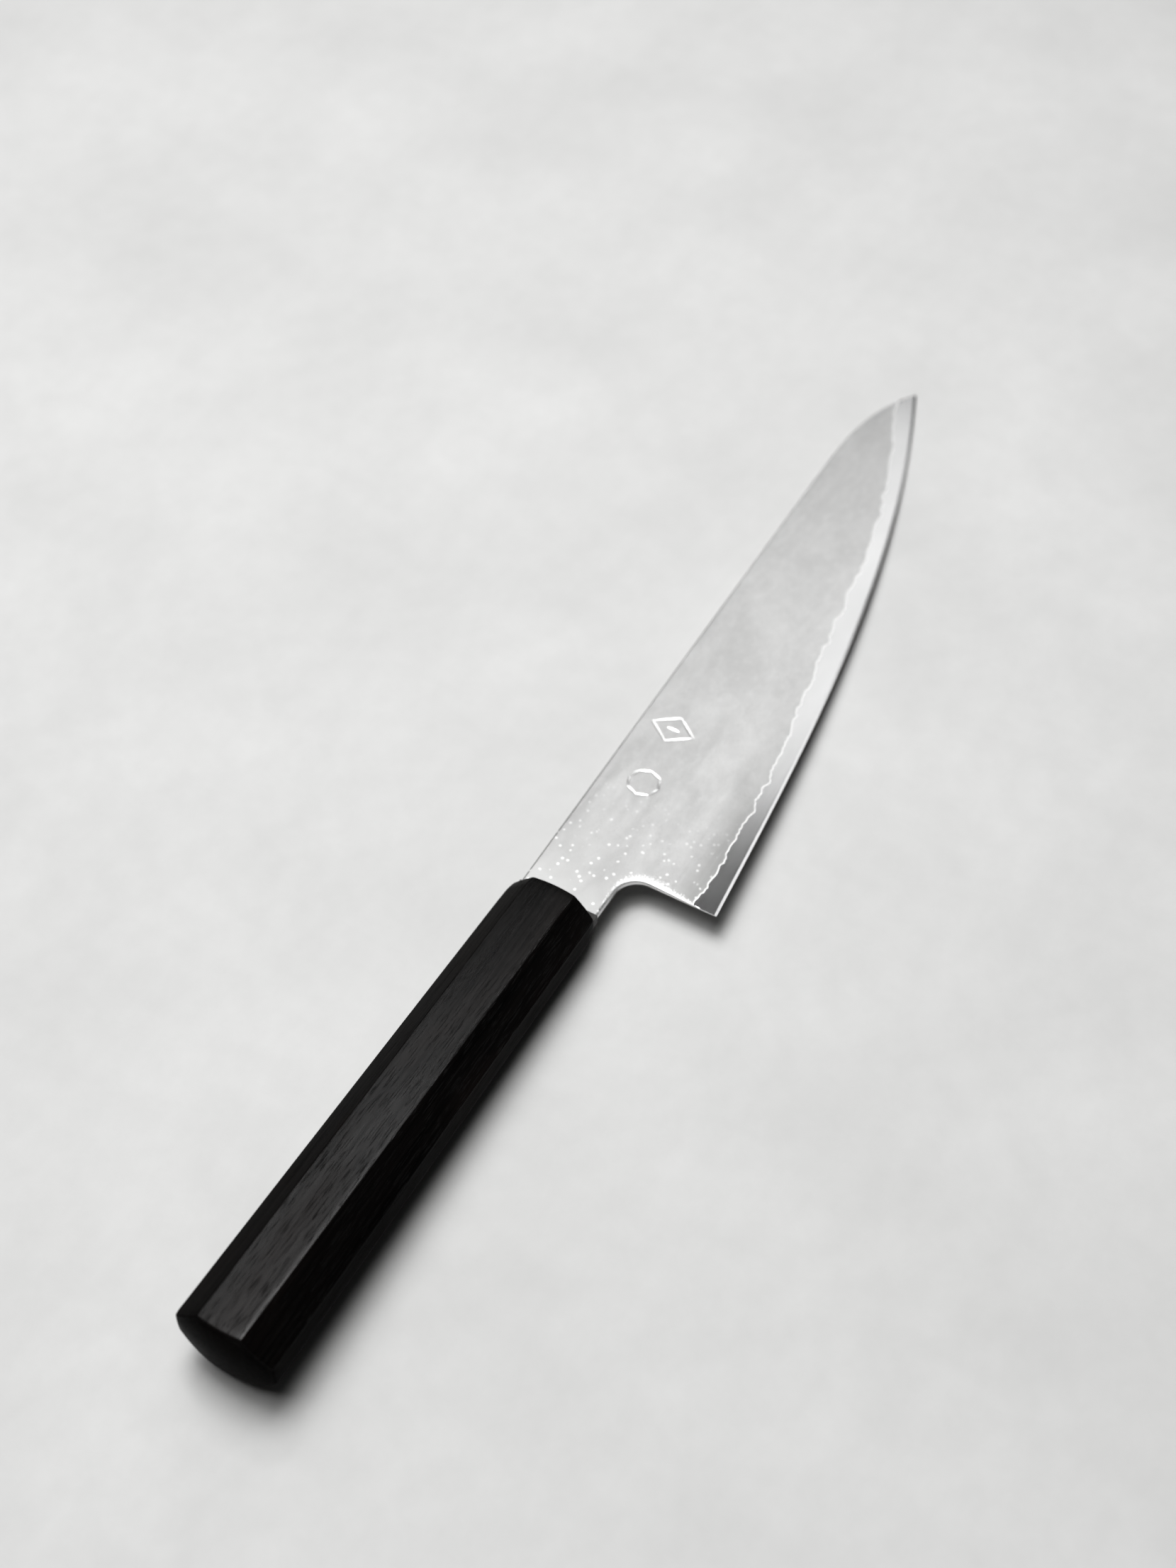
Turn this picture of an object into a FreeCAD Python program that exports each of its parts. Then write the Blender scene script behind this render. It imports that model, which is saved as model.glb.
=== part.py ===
import FreeCAD, Part
import math
import os

from FreeCAD import Vector

# A 210 mm gyuto, the Japanese chef knife, with a one-piece octagonal ebony handle.
#
# The knife is drawn in its own working frame: the handle axis is X and runs forward to the tip,
# Y points to the spine, Z to the right face of the blade, and x = 0 is the front of the handle.
# At the end every piece is placed with the handle's lower side facet flat on z = 0.
# All lengths are in millimetres.

# Blade outline
BLADE_LENGTH = 205.9        # heel to tip, along the handle axis
HEEL_X = 16.1
HEEL_Y = -36.9
TIP_Y = 4.7
EDGE_SLOPE = 20.1           # rise of the cutting edge's straight part over the blade's length
NECK_HALF_HEIGHT = 11.1
SPINE_SLOPE = 0.0195
SPINE_BEND_X = 170.0        # where the spine starts to drop towards the tip
SPINE_BEND_POWER = 3.7
CHOIL_X = 16.3
CHOIL_RADIUS = 6.5
SHOULDER_X = 0.3            # the neck stops just ahead of the handle

# Blade thickness, from the middle plane to one face
SPINE_HALF = 1.3
TIP_HALF = 0.35
TAPER_POWER = 1.3
EDGE_HALF = 0.13            # where the convex grind would meet the edge
GRIND_POWER = 1.6
BEVEL_WIDTH = 0.8
BEVEL_EDGE_HALF = 0.03

# Lamination
CORE_HALF = 0.24
LINE_HEIGHT = 5.4           # mean height of the lamination line above the edge

# Tang
TANG_LENGTH = 88.0
TANG_ROOT_HALF_HEIGHT = 5.5
TANG_END_HALF_HEIGHT = 2.5

# Handle: half height along Y, half width along Z, and the corner cut of the octagon
HANDLE_LENGTH = 144.4       # over both domed ends
FACET_LENGTH = 141.3
FRONT_FACET_X = -1.5
FRONT_OCTAGON = (12.1, 9.0, 5.9)
BUTT_OCTAGON = (13.3, 10.8, 7.4)
DOME_RADIUS = 45.0
SLOT_CLEARANCE = 0.5        # adhesive thickness round the tang
SLOT_EXTRA_DEPTH = 3.0
SLOT_HALF_WIDTH = 1.9
SEAL_LAP = 0.25             # how far the seal stands out from the neck

# Engraved ornaments on the right face
STROKE_DEPTH = 0.14
STROKE_HALF_ANGLE = 66.0
RING_CENTRE = (44.6, 0.2)
RING_RADIUS = 4.4
RHOMB_CENTRE = (64.8, 2.6)
RHOMB_HALF = (4.6, 6.2)

# Values that follow
TIP_X = HEEL_X + BLADE_LENGTH
EDGE_LIFT = TIP_Y - HEEL_Y - EDGE_SLOPE
FACET_TAPER = (BUTT_OCTAGON[1] - FRONT_OCTAGON[1]) / FACET_LENGTH
FACET_MIDDLE_X = FRONT_FACET_X - FACET_LENGTH / 2
FACET_MIDDLE_HALF = (BUTT_OCTAGON[1] + FRONT_OCTAGON[1]) / 2
BEYOND = 30.0               # how far helper shapes reach past the knife
END_MARGIN = 4.0            # how far the flanks run on past the tang, and the line past the blade
TIP_MARGIN = 2.0            # how far the flanks run on past the tip
HALF_STOCK = 7.5            # half thickness of the plate that the blade is cut from
STROKE_RISE = 1.0           # how far a stroke's wedge stands above the bottom of its groove
SEAL_BACK = 2.0             # how far the seal reaches into the handle
SEAL_FRONT = 0.6            # how far it shows in front of the handle


def edge_y(x):
    """Height of the cutting edge: nearly straight at the heel, sweeping up to the tip."""
    along = (x - HEEL_X) / BLADE_LENGTH
    return HEEL_Y + EDGE_SLOPE * along + EDGE_LIFT * along ** 3


def spine_line_y(x):
    return NECK_HALF_HEIGHT + SPINE_SLOPE * x


def spine_y(x):
    """Height of the spine: a straight line that drops to the tip."""
    bend = max(0.0, (x - SPINE_BEND_X) / (TIP_X - SPINE_BEND_X))
    return spine_line_y(x) - (spine_line_y(TIP_X) - TIP_Y) * bend ** SPINE_BEND_POWER


def spine_half(x):
    """Half thickness at the spine, with a distal taper."""
    along = max(0.0, x / TIP_X)
    return SPINE_HALF - (SPINE_HALF - TIP_HALF) * along ** TAPER_POWER


def grind_half(x, share):
    """Half thickness at a share of the way up from the edge line to the spine line."""
    rise = 1 - (1 - share) ** GRIND_POWER if share < 1 else 1
    return EDGE_HALF + (spine_half(x) - EDGE_HALF) * rise


def line_height(x):
    """Height of the hand-forged, wavy lamination line above the edge."""
    turn = 2 * math.pi * x
    sway = 0.9 * math.sin((turn - 2 * math.pi * 85) / 110)
    wave = 0.35 * math.sin(turn / 17 + 1.5 * math.sin(turn / 60))
    ripple = 0.18 * math.sin(turn / 7.3 + 2 * math.sin(turn / 29))
    return LINE_HEIGHT + sway + wave + ripple


def curve(xs, height):
    """A smooth curve y = height(x) at z = 0."""
    spline = Part.BSplineCurve()
    spline.interpolate([Vector(x, height(x), 0) for x in xs])
    return spline.toShape()


def steps(first, last, count):
    return [first + (last - first) * i / (count - 1) for i in range(count)]


def line(first, last):
    return Part.makeLine(Vector(*first, 0), Vector(*last, 0))


def prism(edges, low, high):
    """A solid from z = low to z = high over a closed outline."""
    face = Part.Face(Part.Wire(Part.__sortEdges__(edges)))
    face.translate(Vector(0, 0, low))
    return face.extrude(Vector(0, 0, high - low))


def blade_outline():
    """The outline of blade, neck and tang as a thick plate."""
    corner_x = CHOIL_X - CHOIL_RADIUS
    corner_y = -NECK_HALF_HEIGHT - CHOIL_RADIUS
    middle = math.sqrt(0.5) * CHOIL_RADIUS
    arc = Part.Arc(Vector(corner_x, -NECK_HALF_HEIGHT, 0),
                   Vector(corner_x + middle, corner_y + middle, 0),
                   Vector(CHOIL_X, corner_y, 0))
    tang_end = SHOULDER_X - TANG_LENGTH
    root = TANG_ROOT_HALF_HEIGHT
    end = TANG_END_HALF_HEIGHT
    return [
        curve(steps(HEEL_X, TIP_X, 12), edge_y),
        curve(steps(SPINE_BEND_X, TIP_X, 10), spine_y),
        line((SPINE_BEND_X, spine_y(SPINE_BEND_X)), (SHOULDER_X, spine_y(SHOULDER_X))),
        line((SHOULDER_X, spine_y(SHOULDER_X)), (SHOULDER_X, root)),
        line((SHOULDER_X, root), (tang_end, end)),
        line((tang_end, end), (tang_end, -end)),
        line((tang_end, -end), (SHOULDER_X, -root)),
        line((SHOULDER_X, -root), (SHOULDER_X, -NECK_HALF_HEIGHT)),
        line((SHOULDER_X, -NECK_HALF_HEIGHT), (corner_x, -NECK_HALF_HEIGHT)),
        arc.toShape(),
        line((CHOIL_X, corner_y), (HEEL_X, HEEL_Y)),
    ]


def surface(columns):
    """A smooth face through rows of points."""
    spline = Part.BSplineSurface()
    spline.interpolate(columns)
    return spline.toShape()


def under(face):
    """Everything from a face down to well below the knife."""
    return face.extrude(Vector(0, 0, -BEYOND))


def grind_face():
    """The convex flank of the blade, a little larger than its outline."""
    columns = []
    for x in steps(-TANG_LENGTH - END_MARGIN, TIP_X + TIP_MARGIN, 36):
        low = edge_y(x)
        full = spine_line_y(x) - low
        column = [Vector(x, low + share * full, grind_half(x, share))
                  for share in steps(-0.03, 1.06, 14)]
        columns.append(column)
    return surface(columns)


def bevel_face():
    """The narrow sharpened bevel, carried on upwards so that it clears the rest of the blade."""
    columns = []
    for x in steps(-TANG_LENGTH - END_MARGIN, TIP_X + TIP_MARGIN, 24):
        low = edge_y(x)
        full = spine_line_y(x) - low
        shoulder = grind_half(x, BEVEL_WIDTH / full)
        slope = (shoulder - BEVEL_EDGE_HALF) / BEVEL_WIDTH
        column = [Vector(x, low + up, BEVEL_EDGE_HALF + slope * up)
                  for up in (-1.0, 20.0, 42.0, 64.0)]
        columns.append(column)
    return surface(columns)


def mirrored(shape):
    return shape.mirror(Vector(0, 0, 0), Vector(0, 0, 1))


def whole_blade():
    """Blade, neck and tang as one forged bar, before it is told apart into its layers."""
    bar = prism(blade_outline(), -HALF_STOCK, HALF_STOCK)
    for face in (grind_face(), bevel_face()):
        side = under(face)
        bar = bar.common(side).common(mirrored(side))
    return bar


def cladding_space():
    """The space that the right cladding takes: above the core, and spinewards of the line."""
    start_x = HEEL_X - END_MARGIN
    end_x = TIP_X + END_MARGIN
    back_x = -TANG_LENGTH - BEYOND
    top_y = BEYOND
    start_y = edge_y(start_x) + line_height(start_x)
    end_y = edge_y(end_x) + line_height(end_x)
    edges = [
        curve(steps(start_x, end_x, 120), lambda x: edge_y(x) + line_height(x)),
        line((end_x, end_y), (end_x, top_y)),
        line((end_x, top_y), (back_x, top_y)),
        line((back_x, top_y), (back_x, start_y)),
        line((back_x, start_y), (start_x, start_y)),
    ]
    return prism(edges, CORE_HALF, HALF_STOCK)


def chisel_stroke(start, end):
    """The V-shaped groove that one chisel stroke leaves in the right face."""
    middle_x = (start[0] + end[0]) / 2
    middle_y = (start[1] + end[1]) / 2
    share = (middle_y - edge_y(middle_x)) / (spine_line_y(middle_x) - edge_y(middle_x))
    bottom = grind_half(middle_x, share) - STROKE_DEPTH
    reach = STROKE_RISE * math.tan(math.radians(STROKE_HALF_ANGLE))
    along = Vector(end[0] - start[0], end[1] - start[1], 0)
    across = Vector(-along.y, along.x, 0).normalize() * reach
    foot = Vector(start[0], start[1], bottom)
    top = foot + Vector(0, 0, STROKE_RISE)
    wire = Part.makePolygon([foot, top + across, top - across, foot])
    return Part.Face(wire).extrude(along)


def ring_strokes():
    """A plain ring of eight straight strokes."""
    x, y = RING_CENTRE
    corners = []
    for i in range(8):
        angle = math.radians(45 * i)
        corners.append((x + RING_RADIUS * math.cos(angle), y + RING_RADIUS * math.sin(angle)))
    return [chisel_stroke(corners[i], corners[(i + 1) % 8]) for i in range(8)]


def rhomb_strokes():
    """A plain rhomb outline with one short stroke at its centre."""
    x, y = RHOMB_CENTRE
    half_x, half_y = RHOMB_HALF
    corners = [(x + half_x, y), (x, y + half_y), (x - half_x, y), (x, y - half_y)]
    strokes = [chisel_stroke(corners[i], corners[(i + 1) % 4]) for i in range(4)]
    strokes.append(chisel_stroke((x, y - half_y / 4), (x, y + half_y / 4)))
    return strokes


def octagon(x, half_height, half_width, cut):
    """The eight corners of the handle's section at x, in order round it."""
    corners = []
    for sign_y, sign_z in ((1, 1), (-1, 1), (-1, -1), (1, -1)):
        on_flat = Vector(x, sign_y * half_height, sign_z * (half_width - cut))
        on_side = Vector(x, sign_y * (half_height - cut), sign_z * half_width)
        corners += [on_flat, on_side] if sign_y * sign_z > 0 else [on_side, on_flat]
    return corners


def flat_face(corners):
    return Part.Face(Part.makePolygon(corners + corners[:1]))


def octagon_bar():
    """The tapered octagonal bar with flat facets, longer than the handle at both ends."""
    sections = []
    for x in (-HANDLE_LENGTH - BEYOND, BEYOND):
        share = (FRONT_FACET_X - x) / FACET_LENGTH
        sizes = [a + (b - a) * share for a, b in zip(FRONT_OCTAGON, BUTT_OCTAGON)]
        sections.append(octagon(x, *sizes))
    butt, front = sections
    faces = [flat_face(butt), flat_face(front)]
    for i in range(8):
        after = (i + 1) % 8
        faces.append(flat_face([butt[i], butt[after], front[after], front[i]]))
    solid = Part.Solid(Part.Shell(faces))
    return solid if solid.Volume > 0 else solid.reversed()


def domed_round():
    """A round bar with shallow domes at both ends, as long as the handle."""
    radius = BEYOND
    drop = DOME_RADIUS - math.sqrt(DOME_RADIUS ** 2 - radius ** 2)
    half_drop = DOME_RADIUS - math.sqrt(DOME_RADIUS ** 2 - radius ** 2 / 4)
    butt = -HANDLE_LENGTH
    front_arc = Part.Arc(Vector(0, 0, 0), Vector(-half_drop, radius / 2, 0), Vector(-drop, radius, 0))
    butt_arc = Part.Arc(Vector(butt, 0, 0), Vector(butt + half_drop, radius / 2, 0),
                        Vector(butt + drop, radius, 0))
    edges = [
        line((butt, 0), (0, 0)),
        front_arc.toShape(),
        line((-drop, radius), (butt + drop, radius)),
        butt_arc.toShape(),
    ]
    face = Part.Face(Part.Wire(Part.__sortEdges__(edges)))
    return face.revolve(Vector(0, 0, 0), Vector(1, 0, 0), 360)


def tang_slot():
    """The slot in the handle, a little larger and deeper than the tang."""
    mouth_x = 1.0
    bottom_x = SHOULDER_X - TANG_LENGTH - SLOT_EXTRA_DEPTH
    mouth = TANG_ROOT_HALF_HEIGHT + SLOT_CLEARANCE
    bottom = TANG_END_HALF_HEIGHT + SLOT_CLEARANCE
    corners = [(mouth_x, mouth), (bottom_x, bottom), (bottom_x, -bottom), (mouth_x, -mouth)]
    edges = [line(corners[i], corners[(i + 1) % 4]) for i in range(4)]
    return prism(edges, -SLOT_HALF_WIDTH, SLOT_HALF_WIDTH)


def neck_collar():
    """A block round the neck, where it meets the handle."""
    half_height = NECK_HALF_HEIGHT + SEAL_LAP
    half_width = SPINE_HALF + SEAL_LAP
    corner = Vector(-SEAL_BACK, -half_height, -half_width)
    return Part.makeBox(SEAL_BACK + SEAL_FRONT, 2 * half_height, 2 * half_width, corner)


def placed(shape):
    """The piece turned and moved so that the handle's lower side facet lies on z = 0."""
    middle = Vector(FACET_MIDDLE_X, 0, -FACET_MIDDLE_HALF)
    level = FreeCAD.Rotation(Vector(0, 1, 0), math.degrees(math.atan(FACET_TAPER)))
    placement = FreeCAD.Placement(-level.multVec(middle), level)
    return shape.transformed(placement.toMatrix(), True)


def pieces():
    blade = whole_blade()
    right_space = cladding_space()
    left_space = mirrored(right_space)
    ends = domed_round()
    slot = tang_slot()
    handle = octagon_bar().common(ends).cut(slot)
    adhesive = slot.common(ends).cut(blade)
    seal = neck_collar().cut(ends).cut(blade)
    return {
        "core_steel": blade.cut(right_space).cut(left_space),
        "cladding_right": blade.common(right_space).cut(ring_strokes() + rhomb_strokes()),
        "cladding_left": blade.common(left_space),
        "handle_body": handle,
        "tang_adhesive": adhesive,
        "neck_seal": seal,
    }


os.makedirs("parts", exist_ok=True)
for name, shape in pieces().items():
    solid = placed(shape)
    print(name, "solids", len(solid.Solids), "valid", solid.isValid(), "volume", round(solid.Volume, 1))
    solid.exportStep("parts/" + name + ".step")
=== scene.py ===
import math

import bmesh
import bpy
import numpy as np
from mathutils import Matrix, Vector


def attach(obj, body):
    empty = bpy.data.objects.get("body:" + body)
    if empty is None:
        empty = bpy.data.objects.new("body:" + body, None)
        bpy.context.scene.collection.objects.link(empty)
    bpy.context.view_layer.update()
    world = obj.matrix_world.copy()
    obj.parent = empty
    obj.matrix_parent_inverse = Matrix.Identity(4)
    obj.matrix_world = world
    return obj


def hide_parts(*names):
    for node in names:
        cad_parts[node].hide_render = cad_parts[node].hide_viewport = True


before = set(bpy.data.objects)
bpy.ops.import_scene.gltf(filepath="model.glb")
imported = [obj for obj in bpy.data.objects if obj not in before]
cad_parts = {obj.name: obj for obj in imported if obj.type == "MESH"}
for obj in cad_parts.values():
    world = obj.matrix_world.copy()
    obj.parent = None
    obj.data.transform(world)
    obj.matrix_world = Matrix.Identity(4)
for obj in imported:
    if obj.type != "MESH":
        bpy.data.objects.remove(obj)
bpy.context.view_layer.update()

# The knife is built in the working frame of its CAD source, in millimetres: the handle axis is X
# and runs forward to the tip, Y points to the spine, Z to the right face, x = 0 is the handle's
# front. place() turns that into the row's frame, in metres.

MM = 0.001
CHOIL_X = 16.3
CHOIL_RADIUS = 6.5
HEEL_X = 16.1
HEEL_Y = -36.9
TIP_X = 222.0
TIP_Y = 4.7
EDGE_SLOPE = 20.1
NECK_HALF_HEIGHT = 11.1
SPINE_SLOPE = 0.0195
SPINE_BEND_X = 170.0
SPINE_BEND_POWER = 3.7
SHOULDER_X = 0.3

SPINE_HALF = 1.3
TIP_HALF = 0.35
TAPER_POWER = 1.3
EDGE_HALF = 0.13
GRIND_POWER = 1.6
BEVEL_WIDTH = 0.8
BEVEL_EDGE_HALF = 0.03
CORE_HALF = 0.24
LINE_HEIGHT = 5.4
SPINE_ROUNDING = 0.4
CHOIL_ROUNDING = 0.95       # the choil and the neck's underside are rounded and polished
LEAST_PLATE = 0.004         # a plate never gets thinner than this over the core
SEAM_DEPTH = 0.015          # the plate dips where it meets the core at the lamination line
SEAM_WIDTH = 0.35
TIP_REACH = 14.0            # length of blade at the tip with closer stations

TANG_LENGTH = 88.0
TANG_ROOT = 5.5
TANG_END = 2.5

HANDLE_LENGTH = 144.4
FACET_LENGTH = 141.3
FRONT_FACET_X = -1.5
FRONT_OCTAGON = (12.1, 9.0, 5.9)
BUTT_OCTAGON = (13.3, 10.8, 7.4)
DOME_RADIUS = 45.0
RIDGE_ROUNDING = 0.5        # the octagon's long edges
FACET_CROWN = 0.05          # how far a facet bulges at its middle

STROKE_DEPTH = 0.16
STROKE_HALF_WIDTH = 0.42
RING_CENTRE = (44.6, 0.2)
RING_RADIUS = 4.4
RHOMB_CENTRE = (64.8, 2.6)
RHOMB_HALF = (4.6, 6.2)

FACET_TAPER = math.atan((BUTT_OCTAGON[1] - FRONT_OCTAGON[1]) / FACET_LENGTH)
TANG_SHARE = (NECK_HALF_HEIGHT - TANG_ROOT) / (2 * NECK_HALF_HEIGHT)
FACET_MIDDLE = np.array([FRONT_FACET_X - FACET_LENGTH / 2, 0.0,
                         -(BUTT_OCTAGON[1] + FRONT_OCTAGON[1]) / 2])


def place(points):
    """Working-frame millimetres to row-frame metres."""
    cos = math.cos(FACET_TAPER)
    sin = math.sin(FACET_TAPER)
    turn = np.array([[cos, 0, sin], [0, 1, 0], [-sin, 0, cos]])
    return (np.asarray(points, dtype=float) - FACET_MIDDLE) @ turn.T * MM


def unplace(points):
    """Row-frame metres back to working-frame millimetres."""
    cos = math.cos(FACET_TAPER)
    sin = math.sin(FACET_TAPER)
    turn = np.array([[cos, 0, sin], [0, 1, 0], [-sin, 0, cos]])
    return np.asarray(points, dtype=float) / MM @ turn + FACET_MIDDLE


# ---------------------------------------------------------------- blade outline and thickness

def edge_y(x):
    along = (x - HEEL_X) / (TIP_X - HEEL_X)
    lift = TIP_Y - HEEL_Y - EDGE_SLOPE
    return HEEL_Y + EDGE_SLOPE * along + lift * along ** 3


def spine_line_y(x):
    return NECK_HALF_HEIGHT + SPINE_SLOPE * x


def spine_y(x):
    bend = np.maximum(0.0, (x - SPINE_BEND_X) / (TIP_X - SPINE_BEND_X))
    return spine_line_y(x) - (spine_line_y(TIP_X) - TIP_Y) * bend ** SPINE_BEND_POWER


def underside_y(x):
    """Lower outline of the neck, with the rounded inner corner at the choil."""
    centre_x = CHOIL_X - CHOIL_RADIUS
    across = np.clip(x - centre_x, 0, CHOIL_RADIUS)
    return -NECK_HALF_HEIGHT - CHOIL_RADIUS + np.sqrt(CHOIL_RADIUS ** 2 - across ** 2)


def line_y(x):
    """The wavy lamination line, kept inside the blade near the tip."""
    turn = 2 * np.pi * x
    sway = 0.9 * np.sin((turn - 2 * np.pi * 85) / 110)
    wave = 0.35 * np.sin(turn / 17 + 1.5 * np.sin(turn / 60))
    ripple = 0.28 * np.sin(turn / 7.3 + 2 * np.sin(turn / 29))
    fine = 0.14 * np.sin(turn / 2.7 + 2 * np.sin(turn / 11))
    return np.minimum(edge_y(x) + LINE_HEIGHT + sway + wave + ripple + fine, spine_y(x))


def line_end_x():
    """Where the lamination line runs out into the spine."""
    low, high = SPINE_BEND_X, TIP_X
    for _ in range(50):
        middle = (low + high) / 2
        if line_y(middle) < spine_y(middle):
            low = middle
        else:
            high = middle
    return high


def strokes():
    """The strokes of the two plain ornaments: a ring of eight and a rhomb with a centre stroke."""
    x, y = RING_CENTRE
    angles = np.radians(45 * np.arange(9))
    ring = [(x + RING_RADIUS * np.cos(a), y + RING_RADIUS * np.sin(a)) for a in angles]
    x, y = RHOMB_CENTRE
    half_x, half_y = RHOMB_HALF
    rhomb = [(x + half_x, y), (x, y + half_y), (x - half_x, y), (x, y - half_y), (x + half_x, y)]
    centre = [(x, y - half_y / 4), (x, y + half_y / 4)]
    found = []
    for path in (ring, rhomb, centre):
        found += list(zip(path, path[1:]))
    return found


def engraving(x, y):
    """Depth of the chiselled strokes, with a low burr along their lips."""
    depth = np.zeros_like(x)
    for start, end in strokes():
        start = np.array(start)
        along = np.array(end) - start
        length = np.hypot(*along)
        share = ((x - start[0]) * along[0] + (y - start[1]) * along[1]) / length ** 2
        share = np.clip(share, 0, 1)
        away = np.hypot(x - start[0] - share * along[0], y - start[1] - share * along[1])
        swell = 0.55 + 0.45 * np.sin(np.pi * np.clip(share * 1.15, 0, 1))
        cut = STROKE_DEPTH * swell * np.clip(1 - away / (STROKE_HALF_WIDTH * swell), 0, 1)
        burr = 0.02 * np.exp(-((away - STROKE_HALF_WIDTH * swell * 1.25) / 0.1) ** 2)
        depth = np.maximum(depth, cut) - np.where(cut > 0, 0, burr) * (depth <= 0)
    return depth


def from_choil(x, y):
    """Distance in from the neck's underside, the inner corner and the choil."""
    centre_x = CHOIL_X - CHOIL_RADIUS
    centre_y = -NECK_HALF_HEIGHT - CHOIL_RADIUS
    corner = np.hypot(x - centre_x, y - centre_y) - CHOIL_RADIUS
    distance = np.where(y < centre_y, x - CHOIL_X, corner)
    return np.where(x < centre_x, y + NECK_HALF_HEIGHT, distance)


def rounded_drop(distance, radius):
    """How far a rounded rim lies below the face at a distance in from the outline."""
    inside = np.clip(distance, 0, radius)
    return radius - np.sqrt(np.maximum(radius ** 2 - (radius - inside) ** 2, 0))


def face_half(x, y, engraved):
    """Half thickness of the finished blade at a point of its face."""
    low = edge_y(x)
    full = spine_line_y(x) - low
    share = np.clip((y - low) / full, 0, 1)
    along = np.clip(x / TIP_X, 0, 1)
    spine = SPINE_HALF - (SPINE_HALF - TIP_HALF) * along ** TAPER_POWER
    half = EDGE_HALF + (spine - EDGE_HALF) * (1 - (1 - share) ** GRIND_POWER)
    shoulder_share = BEVEL_WIDTH / full
    shoulder = EDGE_HALF + (spine - EDGE_HALF) * (1 - (1 - shoulder_share) ** GRIND_POWER)
    bevel = BEVEL_EDGE_HALF + (shoulder - BEVEL_EDGE_HALF) * (y - low) / BEVEL_WIDTH
    half = np.minimum(half, bevel)
    if engraved:
        half = half - engraving(x, y)
    room = np.maximum(half - CORE_HALF, 0.02)
    drop = rounded_drop(from_choil(x, y), np.minimum(CHOIL_ROUNDING, room))
    drop = drop + rounded_drop(spine_y(x) - y, np.minimum(SPINE_ROUNDING, room))
    return half - np.minimum(drop, room)


# ---------------------------------------------------------------- mesh helpers

def joined(*parts):
    """Sorted values without doubles."""
    values = np.sort(np.concatenate([np.atleast_1d(part) for part in parts]))
    keep = np.concatenate([[True], np.diff(values) > 1e-6])
    return values[keep]


def new_object(name, points, faces, sharp=30):
    """A mesh object with doubles merged, normals outwards and sharp edges kept sharp."""
    mesh = bpy.data.meshes.new(name)
    mesh.from_pydata([tuple(p) for p in place(points)], [], [tuple(f) for f in faces])
    bm = bmesh.new()
    bm.from_mesh(mesh)
    bmesh.ops.remove_doubles(bm, verts=bm.verts, dist=2e-6)
    bmesh.ops.dissolve_degenerate(bm, edges=bm.edges, dist=1e-6)
    bmesh.ops.recalc_face_normals(bm, faces=bm.faces)
    bm.to_mesh(mesh)
    open_edges = sum(1 for e in bm.edges if len(e.link_faces) != 2)
    print("MESH", name, len(bm.faces), "faces,", open_edges, "open edges")
    bm.free()
    mesh.shade_smooth()
    mesh.set_sharp_from_angle(angle=math.radians(sharp))
    obj = bpy.data.objects.new(name, mesh)
    bpy.context.scene.collection.objects.link(obj)
    return obj


def grid_faces(first, columns, rows):
    """Quads between neighbouring columns of a grid whose points start at index first."""
    i, j = np.meshgrid(np.arange(columns - 1), np.arange(rows - 1), indexing="ij")
    a = first + i * rows + j
    return np.stack([a, a + rows, a + rows + 1, a + 1], axis=-1).reshape(-1, 4)


def columns_x(fine):
    """Stations along the blade, close together at the choil, the tip and the ornaments."""
    choil = CHOIL_X + np.array([0, 0.03, 0.1, 0.2, 0.33, 0.5, 0.7, 0.95])
    near_tip = TIP_X - TIP_REACH * np.linspace(0, 1, 40) ** 1.5
    body = np.arange(17.5, TIP_X - TIP_REACH, 0.6)
    ornaments = np.arange(38.5, 71, 0.14) if fine else []
    return joined(choil, body, near_tip, ornaments, line_end_x())


def upper_rows(fine):
    """Shares of the way up the upper blade, with rows that fit the tang's two sides."""
    start = np.array([0, 0.002, 0.006, 0.012, 0.02, 0.035])
    finish = 1 - start
    count = 145 if fine else 24
    return joined(start, np.linspace(0.035, 0.965, count), finish, TANG_SHARE, 1 - TANG_SHARE)


def solid_from_sheets(name, sheets, bottom, sharp=30):
    """A closed piece: the top sheets, their copy on the other side, and walls round the rim.

    Each sheet is (points, faces). bottom(points) gives the matching points of the other side."""
    points = []
    faces = []
    count = 0
    for sheet_points, sheet_faces in sheets:
        points.append(sheet_points)
        faces.append(sheet_faces + count)
        count += len(sheet_points)
    points = np.concatenate(points)
    faces = np.concatenate(faces)
    keys = {}
    index = np.array([keys.setdefault(tuple(np.round(p, 4)), i) for i, p in enumerate(points)])
    faces = index[faces]
    clean = []
    for face in faces:
        ring = [v for k, v in enumerate(face) if v != face[k - 1]]
        if len(set(ring)) >= 3:
            clean.append(ring)
    edges = {}
    for ring in clean:
        for k, v in enumerate(ring):
            edge = (ring[k - 1], v)
            if (v, ring[k - 1]) in edges:
                del edges[(v, ring[k - 1])]
            else:
                edges[edge] = True
    walls = [[b, a, a + count, b + count] for a, b in edges]
    other = [[v + count for v in reversed(ring)] for ring in clean]
    every = np.concatenate([points, bottom(points)])
    return new_object(name, every, clean + other + walls, sharp)


def grid_sheet(xs, rows, point):
    """A sheet of points point(x, row) over stations and rows."""
    points = np.stack([point(np.full(len(rows), x), rows) for x in xs]).reshape(-1, 3)
    return points, grid_faces(0, len(xs), len(rows))


def paint(obj, name, value):
    """A point attribute value(x, y, z) in the working frame, for the materials to read."""
    points = np.empty(len(obj.data.vertices) * 3)
    obj.data.vertices.foreach_get("co", points)
    x, y, z = unplace(points.reshape(-1, 3)).T
    layer = obj.data.attributes.new(name, "FLOAT", "POINT")
    layer.data.foreach_set("value", value(x, y, z).astype(np.float32))


# ---------------------------------------------------------------- the blade's pieces

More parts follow.
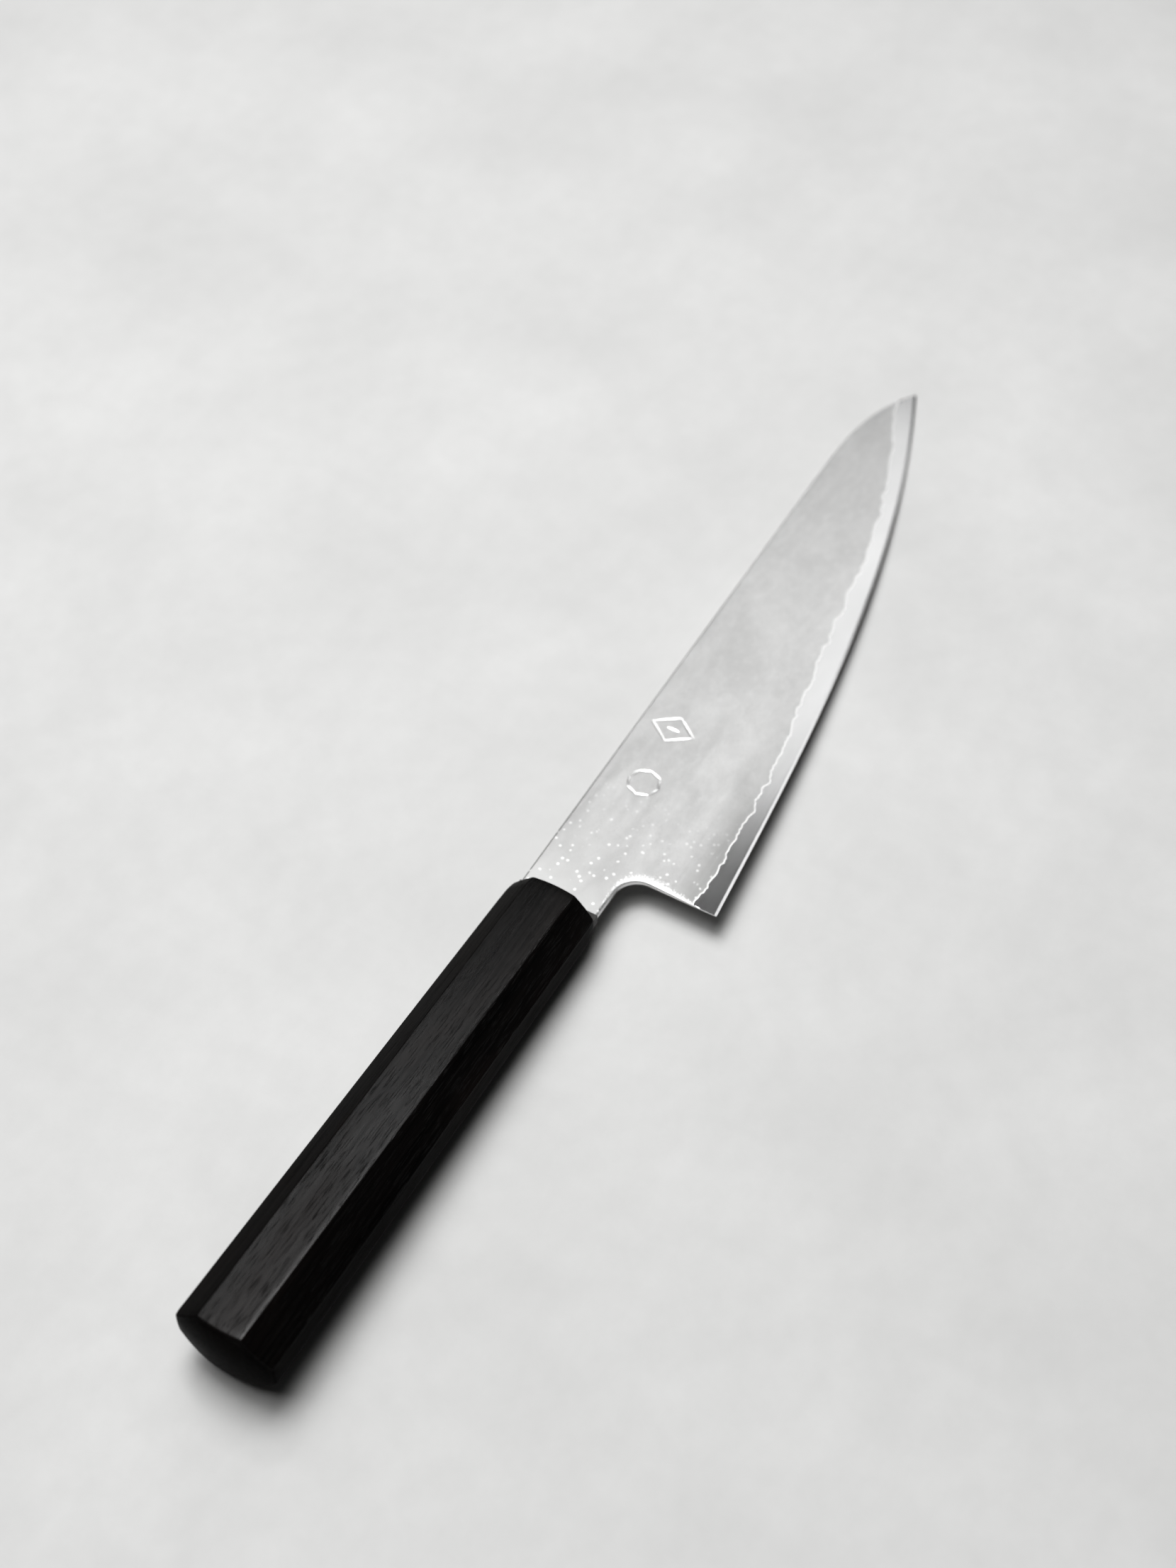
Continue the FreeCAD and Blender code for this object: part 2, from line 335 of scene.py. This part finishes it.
def middle_y(x):
    """The line along the blade that starts where the choil's rounded corner ends."""
    corner_y = -NECK_HALF_HEIGHT - CHOIL_RADIUS
    share = (corner_y - line_y(CHOIL_X)) / (spine_y(CHOIL_X) - line_y(CHOIL_X))
    return line_y(x) + share * (spine_y(x) - line_y(x))


def upper_y(x, share):
    return middle_y(x) + share * (spine_y(x) - middle_y(x))


def lower_y(x, share):
    return line_y(x) + share * (middle_y(x) - line_y(x))


def neck_y(x, share):
    return underside_y(x) + share * (spine_y(x) - underside_y(x))


def tang_y(x, share):
    """Height on the tang, which meets the neck's rows at the shoulder."""
    along = (SHOULDER_X - x) / TANG_LENGTH
    half = TANG_ROOT + (TANG_END - TANG_ROOT) * along
    y = half * (2 * share - 1) * NECK_HALF_HEIGHT / TANG_ROOT
    at_root = np.abs(x - SHOULDER_X) < 1e-6
    return np.where(at_root, neck_y(x, share), y)


def tang_rows(rows):
    """The neck's rows that run on into the tang."""
    return rows[(rows > TANG_SHARE - 1e-6) & (rows < 1 - TANG_SHARE + 1e-6)]


def seam_dip(x, y):
    """How far the plate dips beside the lamination line."""
    return SEAM_DEPTH * np.clip(1 - (y - line_y(x)) / SEAM_WIDTH, 0, 1) ** 2


def cladding(name, side, fine):
    """One soft iron plate, from the lamination line to the spine, with its part of the tang.

    A fine plate has the engraved ornaments and the closer rows that they need."""
    xs = columns_x(fine)
    xs = xs[xs <= line_end_x() + 1e-6]
    upper = upper_rows(fine)
    lower = joined(np.linspace(0, 1, 26), [0.004, 0.009, 0.016, 0.024, 0.032, 0.05])

    def lifted(x, y, dip):
        top = np.maximum(face_half(x, y, fine) - dip, CORE_HALF + LEAST_PLATE)
        return np.stack([x, y, top], axis=-1)

    def upper_point(x, share):
        y = upper_y(x, share)
        return lifted(x, y, seam_dip(x, y))

    def lower_point(x, share):
        y = lower_y(x, share)
        return lifted(x, y, seam_dip(x, y))

    def neck_point(x, share):
        return lifted(x, neck_y(x, share), 0)

    def tang_point(x, share):
        return lifted(x, tang_y(x, share), 0)

    neck = joined(np.arange(SHOULDER_X, CHOIL_X, 0.5), CHOIL_X - np.array([0.02, 0.08, 0.2, 0.35]), CHOIL_X)
    tang = SHOULDER_X - np.linspace(TANG_LENGTH, 0, 16)
    sheets = [
        grid_sheet(xs, upper, upper_point),
        grid_sheet(xs, lower, lower_point),
        grid_sheet(neck, upper, neck_point),
        grid_sheet(tang, tang_rows(upper), tang_point),
    ]

    def bottom(points):
        flat = points.copy()
        flat[:, 2] = CORE_HALF
        return flat

    obj = solid_from_sheets(name, sheets, bottom)
    if side < 0:
        mirror_knife(obj)
    paint(obj, "line", lambda x, y, z: np.clip(1 - (y - line_y(x)) / 0.75, 0, 1))
    # painted shade beside the lamination line, strongest at the heel
    paint(obj, "painted_heel_shade", heel_shade)
    # painted highlight: a white rim round the choil, standing in for its bright reflection
    paint(obj, "choil", lambda x, y, z: np.clip(1 - from_choil(x, y) / choil_highlight_width(x, y), 0, 1))
    paint(obj, "engraved", lambda x, y, z: np.clip(engraving(x, y) / 0.03, 0, 1) * (z > 0) * fine)
    return obj


def heel_shade(x, y, z):
    """Painted shade: a darker strip beside the lamination line, strongest at the heel."""
    beside = np.exp(-((y - line_y(x)) / 6) ** 2)
    return beside * np.exp(-(np.maximum(x - CHOIL_X, 0) / 45) ** 2) * (x > SHOULDER_X)


def choil_highlight_width(x, y):
    """Width of the painted highlight round the choil: widest behind its rounded corner."""
    behind = np.hypot(x - CHOIL_X, y + NECK_HALF_HEIGHT + CHOIL_RADIUS)
    return 1.2 + 3.8 * np.exp(-(behind / 9) ** 2)


def mirror_knife(obj):
    """Mirror a piece in the blade's middle plane."""
    points = np.array([v.co[:] for v in obj.data.vertices])
    cos = math.cos(FACET_TAPER)
    sin = math.sin(FACET_TAPER)
    normal = np.array([sin, 0, cos])
    middle = place([[0, 0, 0]])[0]
    away = (points - middle) @ normal
    points -= 2 * away[:, None] * normal
    obj.data.vertices.foreach_set("co", points.ravel())
    obj.data.flip_normals()
    obj.data.update()


def core():
    """The hard steel: the exposed edge band at full thickness, and the layer between the plates."""
    xs = columns_x(False)
    band = joined(np.linspace(0, 1, 22), [0.004, 0.01])
    upper = upper_rows(False)[::4]
    upper = joined(upper, [0, 1], TANG_SHARE, 1 - TANG_SHARE)

    def band_point(x, share):
        reach = line_y(x) - edge_y(x)
        bevel = np.minimum(BEVEL_WIDTH / np.maximum(reach, 0.01), 0.9)
        warped = np.where(share < 0.3, share / 0.3 * bevel, bevel + (share - 0.3) / 0.7 * (1 - bevel))
        y = edge_y(x) + warped * reach
        return np.stack([x, y, face_half(x, y, False)], axis=-1)

    def step_point(x, share):
        y = line_y(x)
        top = face_half(x, y, False)
        return np.stack([x, y, top + share * (CORE_HALF - top)], axis=-1)

    def flat(x, y):
        return np.stack([x, y, np.full_like(x, CORE_HALF)], axis=-1)

    def lower_point(x, share):
        return flat(x, lower_y(x, share))

    def upper_point(x, share):
        return flat(x, upper_y(x, share))

    def neck_point(x, share):
        return flat(x, neck_y(x, share))

    def tang_point(x, share):
        return flat(x, tang_y(x, share))

    neck = joined(np.arange(SHOULDER_X, CHOIL_X, 1.0), CHOIL_X - np.array([0.02, 0.2]), CHOIL_X)
    tang = SHOULDER_X - np.linspace(TANG_LENGTH, 0, 8)
    sheets = [
        grid_sheet(xs, band, band_point),
        grid_sheet(xs, np.array([0.0, 1.0]), step_point),
        grid_sheet(xs, np.array([0.0, 1.0]), lower_point),
        grid_sheet(xs, upper, upper_point),
        grid_sheet(neck, upper, neck_point),
        grid_sheet(tang, tang_rows(upper), tang_point),
    ]

    def bottom(points):
        other = points.copy()
        other[:, 2] *= -1
        return other

    obj = solid_from_sheets("blade_core", sheets, bottom, sharp=8)
    paint(obj, "bevel", lambda x, y, z: (y - edge_y(x) < BEVEL_WIDTH * 0.9) * (x > SHOULDER_X))
    return obj


# ---------------------------------------------------------------- the handle

def octagon_ring(sizes):
    """Points round an octagon with eased corners and faintly crowned facets."""
    half_height, half_width, cut = sizes
    corners = []
    for sign_y, sign_z in ((1, 1), (-1, 1), (-1, -1), (1, -1)):
        a = (sign_y * half_height, sign_z * (half_width - cut))
        b = (sign_y * (half_height - cut), sign_z * half_width)
        corners += [a, b] if sign_y * sign_z > 0 else [b, a]
    corners = [np.array(c) for c in corners]
    ring = []
    back = RIDGE_ROUNDING * math.tan(math.radians(22.5))
    for k in range(8):
        here, after, before = corners[k], corners[(k + 1) % 8], corners[k - 1]
        out = (after - here) / np.hypot(*(after - here))
        into = (here - before) / np.hypot(*(here - before))
        first = here - into * back
        last = here + out * back
        for t in np.linspace(0, 1, 6):
            ring.append((1 - t) ** 2 * first + 2 * t * (1 - t) * here + t ** 2 * last)
        stop = after - out * back
        normal = np.array([-out[1], out[0]])
        if normal @ here < 0:
            normal = -normal
        for t in np.linspace(0, 1, 12)[1:-1]:
            ring.append(last + t * (stop - last) + normal * FACET_CROWN * 4 * t * (1 - t))
    return np.array(ring)


def sizes_at(x):
    share = (FRONT_FACET_X - x) / FACET_LENGTH
    return [front + (butt - front) * share for front, butt in zip(FRONT_OCTAGON, BUTT_OCTAGON)]


def inset(sizes, depth):
    half_height, half_width, cut = sizes
    return half_height - depth, half_width - depth, cut - (2 - math.sqrt(2)) * depth


def end_rings(end_x, direction, ease, blend_length, blend_depth):
    """Rings from the side of the handle over its eased edge to the middle of the domed end."""
    rings = []
    edge_ring = octagon_ring(inset(sizes_at(end_x), blend_depth))
    reach = np.hypot(edge_ring[:, 0], edge_ring[:, 1])
    sag = DOME_RADIUS - np.sqrt(DOME_RADIUS ** 2 - reach ** 2)
    for t in np.linspace(0, 1, 8)[:-1]:
        depth = blend_depth * t ** 2
        x = end_x - direction * (sag + ease + blend_length * (1 - t))
        ring = octagon_ring(inset(sizes_at(end_x), depth))
        rings.append(np.column_stack([x, ring]))
    for t in np.linspace(0, 1, 7):
        angle = t * math.pi / 2
        depth = blend_depth + ease * (1 - math.cos(angle))
        ring = octagon_ring(inset(sizes_at(end_x), depth))
        x = end_x - direction * (sag + ease * (1 - math.sin(angle)))
        rings.append(np.column_stack([x, ring]))
    last = octagon_ring(inset(sizes_at(end_x), blend_depth + ease))
    for share in np.linspace(1, 0, 14)[1:]:
        ring = last * share
        radius = np.hypot(ring[:, 0], ring[:, 1])
        drop = DOME_RADIUS - np.sqrt(DOME_RADIUS ** 2 - radius ** 2)
        rings.append(np.column_stack([end_x - direction * drop, ring]))
    return rings


def handle():
    """The one-piece handle: tapered octagon, eased edges, domed ends."""
    front = end_rings(0.0, 1, ease=0.8, blend_length=3.5, blend_depth=0.4)
    butt = end_rings(-HANDLE_LENGTH, -1, ease=0.55, blend_length=1.5, blend_depth=0.1)
    side = []
    for x in np.linspace(-9, -HANDLE_LENGTH + 7, 60):
        ring = octagon_ring(sizes_at(x))
        side.append(np.column_stack([np.full(len(ring), x), ring]))
    rings = front[::-1] + side + butt
    count = len(rings[0])
    points = np.concatenate(rings)
    faces = []
    for i in range(len(rings) - 1):
        for j in range(count):
            after = (j + 1) % count
            faces.append((i * count + j, i * count + after, (i + 1) * count + after, (i + 1) * count + j))
    obj = new_object("ebony_handle", points, faces, sharp=35)
    paint(obj, "ridge", near_ridge)
    return obj


def near_ridge(x, y, z):
    """Wear on the handle's long edges and end rims, strongest on the edge side."""
    half_height, half_width, cut = sizes_at(x)
    slant = (half_height + half_width - cut) / math.sqrt(2)
    diagonal = (np.abs(y) + np.abs(z)) / math.sqrt(2)
    depths = np.sort([half_height - np.abs(y), half_width - np.abs(z), slant - diagonal], axis=0)
    return np.clip(1 - (depths[1] - 0.1) / 0.3, 0, 1) * (depths[0] < 1) * np.where(y < 0, 1, 0.1)


# ---------------------------------------------------------------- materials

GLINT_AND_SHADE_START = 0.075         # painted glints and painted shade fade out from the neck, in the row's X
GLINT_AND_SHADE_END = 0.120


class Nodes:
    """A short way to write a node tree."""

    def __init__(self, name):
        self.material = bpy.data.materials.new(name)
        self.material.use_nodes = True
        self.tree = self.material.node_tree
        self.shader = self.tree.nodes["Principled BSDF"]
        self.place = self.add("ShaderNodeTexCoord").outputs["Object"]

    def add(self, kind, **values):
        node = self.tree.nodes.new(kind)
        for key, value in values.items():
            setattr(node, key, value)
        return node

    def link(self, source, target):
        self.tree.links.new(source, target)

    def fill(self, socket, value):
        if isinstance(value, bpy.types.NodeSocket):
            self.link(value, socket)
        else:
            socket.default_value = value

    def scaled(self, x, y, z):
        node = self.add("ShaderNodeMapping")
        node.inputs["Scale"].default_value = (x, y, z)
        self.link(self.place, node.inputs["Vector"])
        return node.outputs["Vector"]

    def noise(self, vector, scale, detail=4.0, rough=0.5, distortion=0.0):
        node = self.add("ShaderNodeTexNoise")
        self.link(vector, node.inputs["Vector"])
        node.inputs["Scale"].default_value = scale
        node.inputs["Detail"].default_value = detail
        node.inputs["Roughness"].default_value = rough
        node.inputs["Distortion"].default_value = distortion
        return node.outputs["Fac"]

    def ramp(self, value, low, high, to_low=0.0, to_high=1.0):
        node = self.add("ShaderNodeMapRange")
        self.fill(node.inputs["Value"], value)
        node.inputs["From Min"].default_value = low
        node.inputs["From Max"].default_value = high
        node.inputs["To Min"].default_value = to_low
        node.inputs["To Max"].default_value = to_high
        return node.outputs["Result"]

    def maths(self, operation, a, b=0.0):
        node = self.add("ShaderNodeMath", operation=operation)
        self.fill(node.inputs[0], a)
        self.fill(node.inputs[1], b)
        return node.outputs[0]

    def mix(self, share, a, b):
        node = self.add("ShaderNodeMix", data_type="RGBA")
        self.fill(node.inputs["Factor"], share)
        for socket, value in ((node.inputs[6], a), (node.inputs[7], b)):
            self.fill(socket, value if isinstance(value, bpy.types.NodeSocket) else (*value, 1.0))
        return node.outputs[2]

    def attribute(self, name):
        return self.add("ShaderNodeAttribute", attribute_name=name).outputs["Fac"]

    def along(self):
        return self.add_xyz().outputs["X"]

    def add_xyz(self):
        node = self.add("ShaderNodeSeparateXYZ")
        self.link(self.place, node.inputs["Vector"])
        return node

    def bump(self, height, strength, distance, normal=None):
        node = self.add("ShaderNodeBump")
        node.inputs["Strength"].default_value = strength
        node.inputs["Distance"].default_value = distance
        self.link(height, node.inputs["Height"])
        if normal is not None:
            self.link(normal, node.inputs["Normal"])
        return node.outputs["Normal"]


def cladding_material():
    """Soft iron: hazy satin, fine scratches along the blade and cloudiness, with painted shade near the heel
    and neck, and painted highlights: white glints near the neck and a white rim round the choil.
    """
    n = Nodes("cladding_iron")
    scratch = n.noise(n.scaled(60, 2600, 600), 1.0, 3.0, 0.6)
    cloud = n.noise(n.scaled(45, 90, 90), 1.0, 6.0, 0.62, 0.5)
    mottle = n.noise(n.scaled(300, 420, 420), 1.0, 4.0, 0.6)
    grit = n.noise(n.scaled(2600, 2600, 2600), 1.0, 2.0, 0.5)
    tone = n.mix(n.ramp(cloud, 0.38, 0.64), (0.64, 0.64, 0.635), (0.72, 0.72, 0.715))
    tone = n.mix(n.ramp(mottle, 0.45, 0.70, 0.0, 0.35), tone, (0.82, 0.82, 0.815))
    tone = n.mix(n.ramp(grit, 0.58, 0.70, 0.0, 0.35), tone, (0.48, 0.48, 0.475))
    # painted shade: the plate is darkened beside the line near the heel
    tone = n.mix(n.ramp(n.attribute("painted_heel_shade"), 0.0, 1.0, 0.0, 0.85), tone, (0.30, 0.30, 0.295))
    near_neck = n.ramp(n.along(), GLINT_AND_SHADE_START, GLINT_AND_SHADE_END, 1.0, 0.0)
    # painted shade: the plate is darkened toward the neck
    tone = n.mix(n.maths("MULTIPLY", near_neck, 0.85), tone, (0.50, 0.50, 0.495))
    line = n.ramp(n.attribute("line"), 0.25, 0.8)
    marks = n.maths("MULTIPLY", n.attribute("engraved"), 0.25)
    bright = n.maths("MAXIMUM", line, marks)
    # painted glints: small white dots near the neck, standing in for sparkles of light
    glint_cells = n.add("ShaderNodeTexVoronoi", voronoi_dimensions="2D")
    n.link(n.scaled(360, 360, 360), glint_cells.inputs["Vector"])
    glint_cells.inputs["Scale"].default_value = 1.0
    uneven = n.maths("MULTIPLY", n.noise(n.scaled(900, 900, 900), 1.0, 2.0, 0.5), 0.16)
    painted_glints = n.ramp(n.maths("ADD", glint_cells.outputs["Distance"], uneven), 0.18, 0.24, 1.0, 0.0)
    patchy = n.ramp(n.noise(n.scaled(300, 300, 300), 1.0, 2.0, 0.5), 0.47, 0.51)
    painted_glints = n.maths("MULTIPLY", painted_glints, n.maths("MULTIPLY", near_neck, patchy))
    bright = n.maths("MAXIMUM", bright, painted_glints)
    # painted highlight: the rim round the choil is whitened, broken up by grit
    dithered_choil_highlight = n.maths("SUBTRACT", n.attribute("choil"), n.ramp(grit, 0.3, 0.7, 0.0, 0.7))
    bright = n.maths("MAXIMUM", bright, n.ramp(dithered_choil_highlight, 0.15, 0.45, 0.0, 0.8))
    # whitens the lamination line and engraved marks, and also the painted glints and the painted choil
    # highlight
    n.fill(n.shader.inputs["Base Color"], n.mix(bright, tone, (0.95, 0.95, 0.945)))
    n.fill(n.shader.inputs["Metallic"], n.maths("SUBTRACT", 1.0, n.maths("MULTIPLY", bright, 0.35)))
    rough = n.maths("ADD", n.ramp(cloud, 0.3, 0.7, 0.295, 0.33), n.ramp(scratch, 0.3, 0.7, -0.01, 0.02))
    n.fill(n.shader.inputs["Roughness"], n.maths("ADD", rough, n.maths("MULTIPLY", bright, 0.1)))
    fine = n.bump(scratch, 0.05, 0.00005)
    n.fill(n.shader.inputs["Normal"], n.bump(grit, 0.12, 0.00003, fine))
    return n.material


def core_material():
    """Hard carbon steel: close to a mirror, greyer than the cladding, with fine edge scratches."""
    n = Nodes("core_steel")
    scratch = n.noise(n.scaled(90, 3600, 900), 1.0, 3.0, 0.6)
    cloud = n.noise(n.scaled(30, 60, 60), 1.0, 3.0, 0.5)
    tone = n.mix(n.ramp(cloud, 0.35, 0.65), (0.62, 0.62, 0.62), (0.70, 0.70, 0.70))
    n.fill(n.shader.inputs["Base Color"], tone)
    n.fill(n.shader.inputs["Metallic"], 1.0)
    rough = n.maths("ADD", n.ramp(cloud, 0.3, 0.7, 0.13, 0.16), n.ramp(scratch, 0.3, 0.7, -0.01, 0.02))
    honed = n.maths("MULTIPLY", n.attribute("bevel"), 0.03)
    n.fill(n.shader.inputs["Roughness"], n.maths("SUBTRACT", rough, honed))
    n.fill(n.shader.inputs["Normal"], n.bump(scratch, 0.06, 0.00004))
    return n.material


def ebony_material():
    """Oiled ebony: near black, brown-grey streaks, fine open pores along the grain."""
    n = Nodes("ebony")
    streak = n.noise(n.scaled(18, 900, 900), 1.0, 6.0, 0.7, 0.4)
    broad = n.noise(n.scaled(16, 70, 70), 1.0, 4.0, 0.55, 0.6)
    pores = n.noise(n.scaled(150, 3600, 3600), 1.0, 2.0, 0.5)
    pore_mask = n.ramp(pores, 0.60, 0.68)
    tone = n.mix(n.ramp(streak, 0.35, 0.68), (0.0012, 0.0011, 0.0011), (0.0065, 0.0055, 0.0052))
    tone = n.mix(n.ramp(broad, 0.48, 0.72, 0.0, 0.7), tone, (0.0085, 0.0055, 0.0048))
    tone = n.mix(pore_mask, tone, (0.0015, 0.0013, 0.0012))
    n.fill(n.shader.inputs["Base Color"], tone)
    rough = n.maths("ADD", n.ramp(broad, 0.3, 0.7, 0.24, 0.34), n.ramp(pores, 0.5, 0.75, 0.0, 0.2))
    worn = n.maths("MULTIPLY", n.attribute("ridge"), 0.14)
    n.fill(n.shader.inputs["Roughness"], n.maths("SUBTRACT", rough, worn))
    facing = n.add("ShaderNodeLayerWeight")
    facing.inputs["Blend"].default_value = 0.5
    sheen = n.ramp(facing.outputs["Facing"], 0.25, 0.46, 0.12, 0.007)
    sheen = n.maths("MULTIPLY", sheen, n.ramp(streak, 0.35, 0.65, 0.85, 1.15))
    sheen = n.maths("MULTIPLY", sheen, n.ramp(n.along(), -0.03, 0.02, 1.0, 1.7))
    sheen = n.maths("MULTIPLY", sheen, n.ramp(n.attribute("ridge"), 0.0, 1.0, 1.0, 2.0))
    n.fill(n.shader.inputs["Specular IOR Level"], sheen)
    grain = n.bump(streak, 0.18, 0.00005)
    height = n.maths("SUBTRACT", 1.0, pore_mask)
    n.fill(n.shader.inputs["Normal"], n.bump(height, 0.5, 0.00006, grain))
    return n.material


def filler_material(name, dark, light, rough):
    """Cured filler: a dull surface with fine speckle and small pits."""
    n = Nodes(name)
    speckle = n.noise(n.scaled(900, 900, 900), 1.0, 4.0, 0.6)
    n.fill(n.shader.inputs["Base Color"], n.mix(n.ramp(speckle, 0.35, 0.65), dark, light))
    n.fill(n.shader.inputs["Roughness"], n.ramp(speckle, 0.3, 0.7, rough, rough + 0.15))
    n.fill(n.shader.inputs["Normal"], n.bump(speckle, 0.3, 0.00008))
    return n.material


def floor_material():
    """A plain pale worktop with faint mottling."""
    n = Nodes("floor")
    cloud = n.noise(n.scaled(14, 14, 14), 1.0, 5.0, 0.6)
    fine = n.noise(n.scaled(120, 120, 120), 1.0, 4.0, 0.6)
    tone = n.mix(n.ramp(cloud, 0.3, 0.7), (0.56, 0.56, 0.555), (0.63, 0.63, 0.625))
    tone = n.mix(n.ramp(fine, 0.35, 0.65, 0.0, 0.12), tone, (0.46, 0.46, 0.455))
    n.fill(n.shader.inputs["Base Color"], tone)
    n.fill(n.shader.inputs["Roughness"], 0.75)
    n.fill(n.shader.inputs["Normal"], n.bump(fine, 0.15, 0.0006))
    return n.material


def dress(obj, material):
    obj.data.materials.clear()
    obj.data.materials.append(material)


# ---------------------------------------------------------------- light, floor and camera

def floor():
    """The worktop: the knife lies on the handle's front lower edge and on the blade's tip."""
    size = 3.0
    mesh = bpy.data.meshes.new("floor")
    half = size / 2
    corners = [(-half, -half, 0), (half, -half, 0), (half, half, 0), (-half, half, 0)]
    mesh.from_pydata(corners, [], [(0, 1, 2, 3)])
    obj = bpy.data.objects.new("floor", mesh)
    bpy.context.scene.collection.objects.link(obj)
    front = place([[FRONT_FACET_X, 0, -FRONT_OCTAGON[1]]])[0]
    tip = place([[TIP_X, TIP_Y, -0.1]])[0]
    slope = math.atan2(tip[2] - front[2], tip[0] - front[0])
    obj.location = (front[0], 0, front[2] - 0.0002)
    obj.rotation_euler = (0, -slope, 0)
    dress(obj, floor_material())


def area_light(name, azimuth, elevation, distance, size, power, target):
    """A soft box that looks at the target."""
    light = bpy.data.lights.new(name, "AREA")
    light.shape = "RECTANGLE"
    light.size = size[0]
    light.size_y = size[1]
    light.energy = power
    obj = bpy.data.objects.new(name, light)
    bpy.context.scene.collection.objects.link(obj)
    obj.matrix_world = looking(azimuth, elevation, distance, target, 0)
    obj.visible_camera = False


def looking(azimuth, elevation, distance, target, roll):
    """Pose of a camera or light that looks at target from azimuth and elevation in degrees."""
    azimuth = math.radians(azimuth)
    elevation = math.radians(elevation)
    back = Vector((math.cos(elevation) * math.cos(azimuth), math.cos(elevation) * math.sin(azimuth),
                   math.sin(elevation)))
    right = Vector((-math.sin(azimuth), math.cos(azimuth), 0))
    up = back.cross(right)
    turn = Matrix((right, up, back)).transposed() @ Matrix.Rotation(math.radians(roll), 3, "Z")
    pose = turn.to_4x4()
    pose.translation = Vector(target) + back * distance
    return pose


CAMERA_AZIMUTH = -148.90
CAMERA_ELEVATION = 50.70
CAMERA_ROLL = -0.93
CAMERA_DISTANCE = 0.6180
CAMERA_TARGET = (0.11027, 0.01335, 0.008)
CAMERA_LENS = 53.7
FOCUS_DISTANCE = 0.560
F_STOP = 8.0
WORLD_FILL = 0.035
WORLD_BACKDROP = 0.25


def camera():
    data = bpy.data.cameras.new("camera")
    data.sensor_width = 36
    data.lens = CAMERA_LENS
    data.dof.use_dof = True
    data.dof.focus_distance = FOCUS_DISTANCE
    data.dof.aperture_fstop = F_STOP
    obj = bpy.data.objects.new("camera", data)
    bpy.context.scene.collection.objects.link(obj)
    obj.matrix_world = looking(CAMERA_AZIMUTH, CAMERA_ELEVATION, CAMERA_DISTANCE, CAMERA_TARGET, CAMERA_ROLL)
    bpy.context.scene.camera = obj


def lights():
    """Two large soft boxes overhead, and four small panels beyond the tip that steel and ebony mirror.

    The surroundings are nearly dark in reflections, and brighter where the camera sees them."""
    centre = (0.10, 0.0, 0.0)
    area_light("key", 75, 80, 1.3, (0.50, 0.50), 7.5, centre)
    area_light("sky", 105, 78, 1.3, (1.2, 1.1), 11.5, centre)
    area_light("core_window", 13.7, 42.9, 1.5, (0.46, 0.42), 0.66, centre)
    area_light("spine_window", 32.4, 32.2, 1.5, (0.10, 0.35), 0.40, centre)
    area_light("handle_window", 49.7, 60.1, 1.5, (0.27, 0.10), 1.2, centre)
    area_light("edge_strip", -3.1, 49.2, 1.5, (0.11, 0.39), 0.19, centre)
    world = bpy.data.worlds.new("world")
    bpy.context.scene.world = world
    world.use_nodes = True
    tree = world.node_tree
    seen = tree.nodes.new("ShaderNodeLightPath").outputs["Is Camera Ray"]
    level = tree.nodes.new("ShaderNodeMapRange")
    level.inputs["To Min"].default_value = WORLD_FILL
    level.inputs["To Max"].default_value = WORLD_BACKDROP
    tree.links.new(seen, level.inputs["Value"])
    background = tree.nodes["Background"]
    background.inputs["Color"].default_value = (1, 1, 1, 1)
    tree.links.new(level.outputs["Result"], background.inputs["Strength"])


def tone():
    """Neutral, contrasty tones, close to a black-and-white print."""
    settings = bpy.context.scene.view_settings
    settings.view_transform = "Standard"
    settings.look = "Medium High Contrast"


def main():
    iron = cladding_material()
    right = cladding("blade_cladding_right", 1, True)
    left = cladding("blade_cladding_left", -1, False)
    middle = core()
    grip = handle()
    dress(right, iron)
    dress(left, iron)
    dress(middle, core_material())
    dress(grip, ebony_material())
    for piece, node, slot in (
        (right, "cladding_right", "cladding_iron"),
        (left, "cladding_left", "cladding_iron"),
        (middle, "core_steel", "core_steel"),
        (grip, "handle_body", "ebony"),
    ):
        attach(piece, "root")
        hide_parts(node)
    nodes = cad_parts
    dress(nodes["neck_seal"], filler_material("neck_wax", (0.012, 0.011, 0.010), (0.03, 0.027, 0.024), 0.4))
    dress(nodes["tang_adhesive"], filler_material("epoxy", (0.16, 0.13, 0.09), (0.24, 0.20, 0.14), 0.5))
    floor()
    lights()
    tone()
    camera()


main()
bpy.context.view_layer.update()
